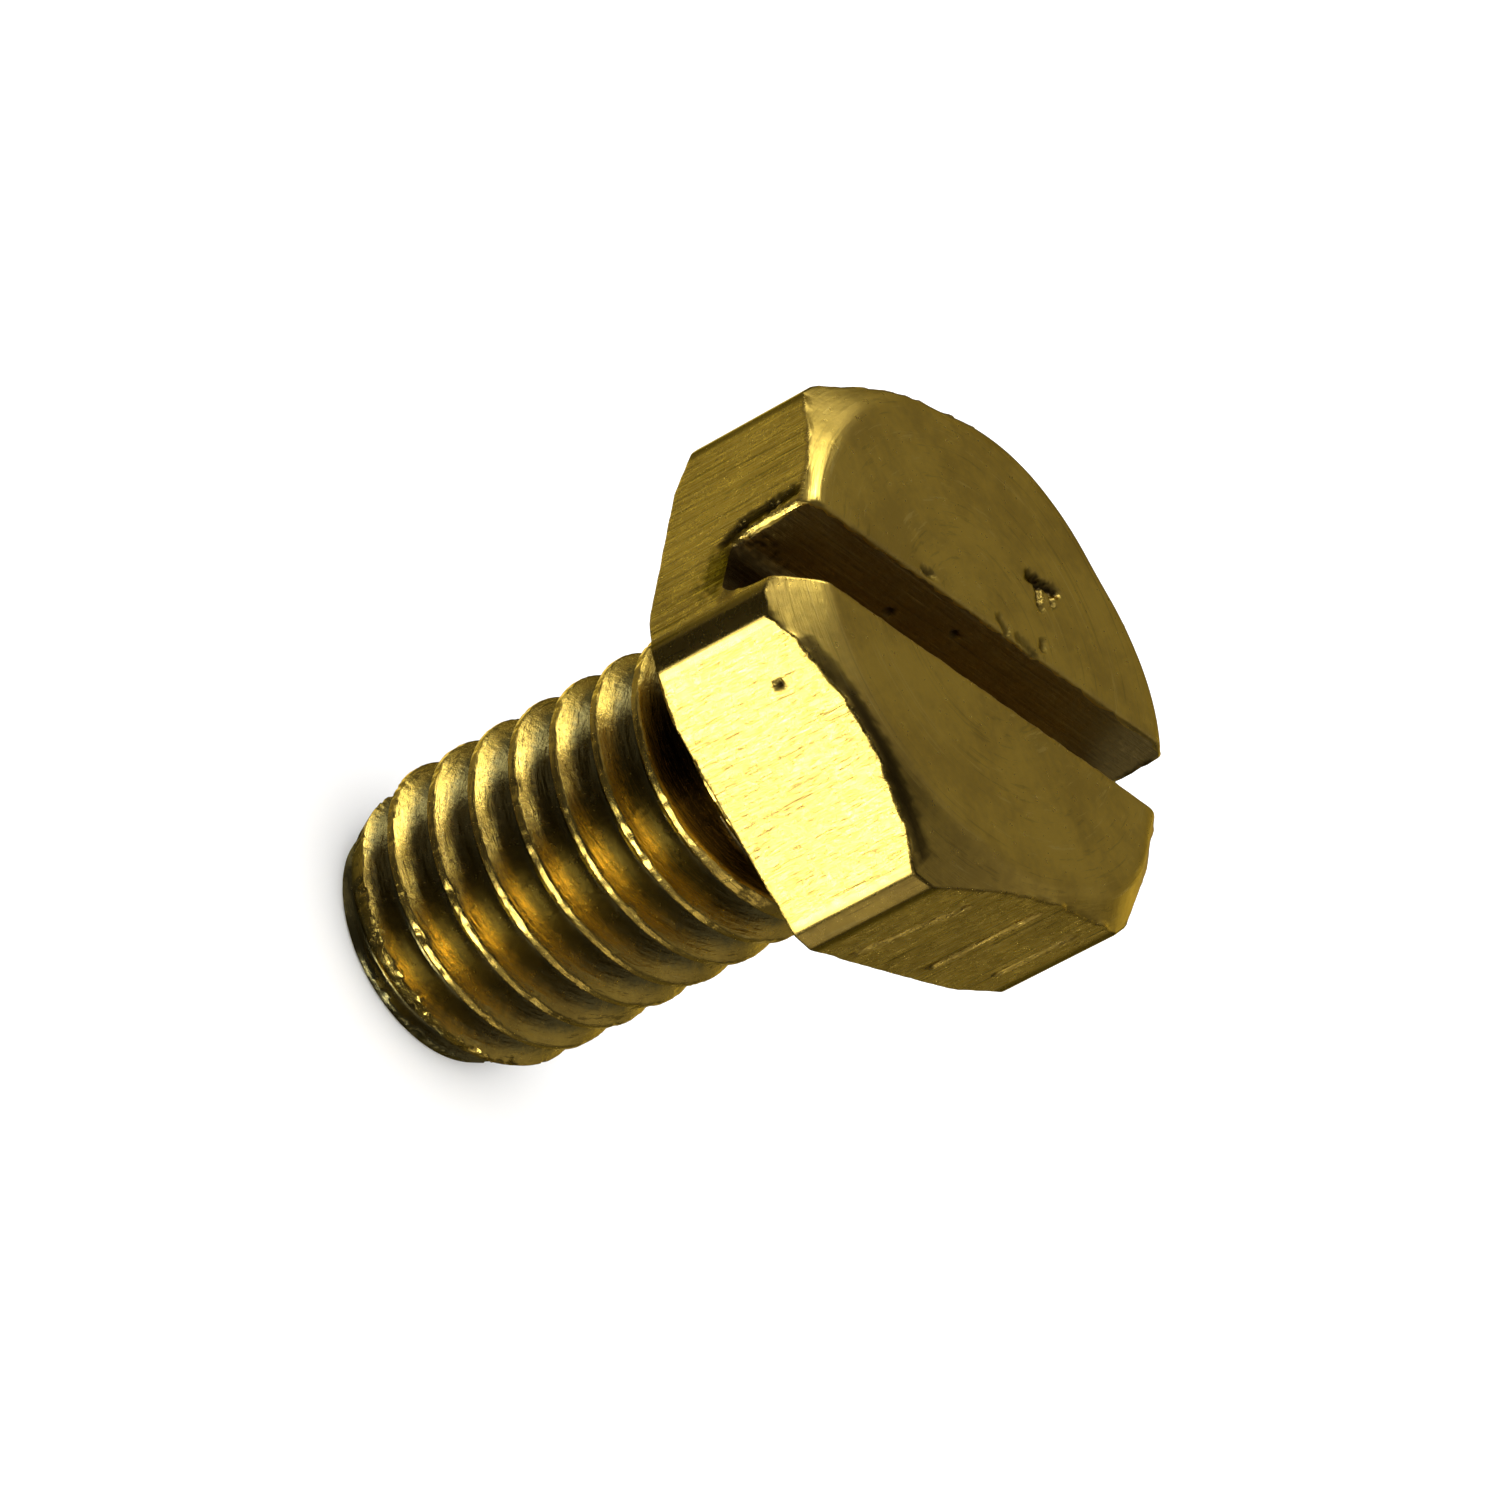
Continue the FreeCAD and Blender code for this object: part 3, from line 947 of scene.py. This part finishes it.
# The studio: a white room for the floor and for what the camera sees past it, and for the
# polished metal a dim room with soft lamps, each a direction, a brightness, and the angles from
# its middle at which it starts to fade and is gone.
ROOM = 0.05
ROOM_WHITE = 1.75
KEY_LAMPS = (
    ((0.05, -0.857, -0.514), 4.5, 6, 22),
    ((0.05, -0.857, -0.514), 21.0, 2, 8),
    ((-0.54, 0.47, 0.70), 7.5, 3, 14),
    ((-0.70, 0.60, 0.40), 3.2, 3, 12),
    ((-0.53, -0.04, 0.85), 6.5, 1, 6),
    ((-0.36, 0.78, -0.51), 1.6, 4, 15),
    ((0.43, 0.74, -0.51), 0.4, 4, 11),
)
FILL_LAMPS = (
    ((0.763, -0.388, -0.517), 0.9, 4, 20),
    ((-0.37, 0.14, 0.92), 0.16, 16, 34),
    ((-0.78, -0.03, 0.63), 0.25, 6, 24),
    ((0.05, 0.857, 0.514), 0.14, 25, 50),
    ((-0.77, 0.385, -0.51), 0.17, 12, 38),
    ((0.717, 0.47, -0.51), 0.05, 12, 36),
    ((0.76, 0.445, 0.47), 0.06, 6, 24),
    ((0.74, 0.16, 0.655), 0.13, 20, 33),
    ((0.50, -0.86, 0.10), 0.5, 4, 22),
    ((0.45, 0.88, -0.10), 0.5, 4, 22),
    ((-0.87, 0.48, 0.05), 0.3, 4, 20),
)
KEY_COLOUR = (0.92, 1.0, 1.08, 1)
WHITE = (1, 1, 1, 1)


def lamp_light(nodes, towards, lamps):
    """How bright these lamps are, all together, in the direction towards."""
    light = 0.0
    for direction, brightness, full, faded in lamps:
        cosine = nodes.vector("DOT_PRODUCT", towards, tuple(Vector(direction).normalized()))
        angles = (math.cos(math.radians(faded)), math.cos(math.radians(full)))
        light = nodes.math("ADD", light, nodes.ramp(cosine, *angles, 0.0, brightness))
    return light


def make_world():
    """The light that comes from all round."""
    world = bpy.data.worlds.new("studio")
    bpy.context.scene.world = world
    world.use_nodes = True
    world.cycles.sampling_method = "NONE"
    tree = world.node_tree
    nodes = Nodes(tree)
    towards = nodes.vector("NORMALIZE", nodes.add("TexCoord", 0))
    keys = nodes.add("Background", 0, None, Strength=lamp_light(nodes, towards, KEY_LAMPS))
    fills = nodes.math("ADD", ROOM, lamp_light(nodes, towards, FILL_LAMPS))
    fills = nodes.add("Background", 0, None, Strength=fills)
    white = nodes.add("Background", 0, None, Strength=ROOM_WHITE)
    seen = nodes.add("Background", 0, None, Strength=1.0)
    for background, colour in ((keys, KEY_COLOUR), (fills, WHITE), (white, WHITE), (seen, WHITE)):
        background.node.inputs["Color"].default_value = colour
    lamps = nodes.add("AddShader", 0, None, _0=keys, _1=fills)
    ray = tree.nodes.new("ShaderNodeLightPath").outputs
    surround = nodes.add("MixShader", 0, None, _0=ray["Is Glossy Ray"], _1=white, _2=lamps)
    surround = nodes.add("MixShader", 0, None, _0=ray["Is Camera Ray"], _1=surround, _2=seen)
    tree.links.new(surround, tree.nodes["World Output"].inputs["Surface"])


make_world()
bpy.context.scene.view_settings.view_transform = "Standard"
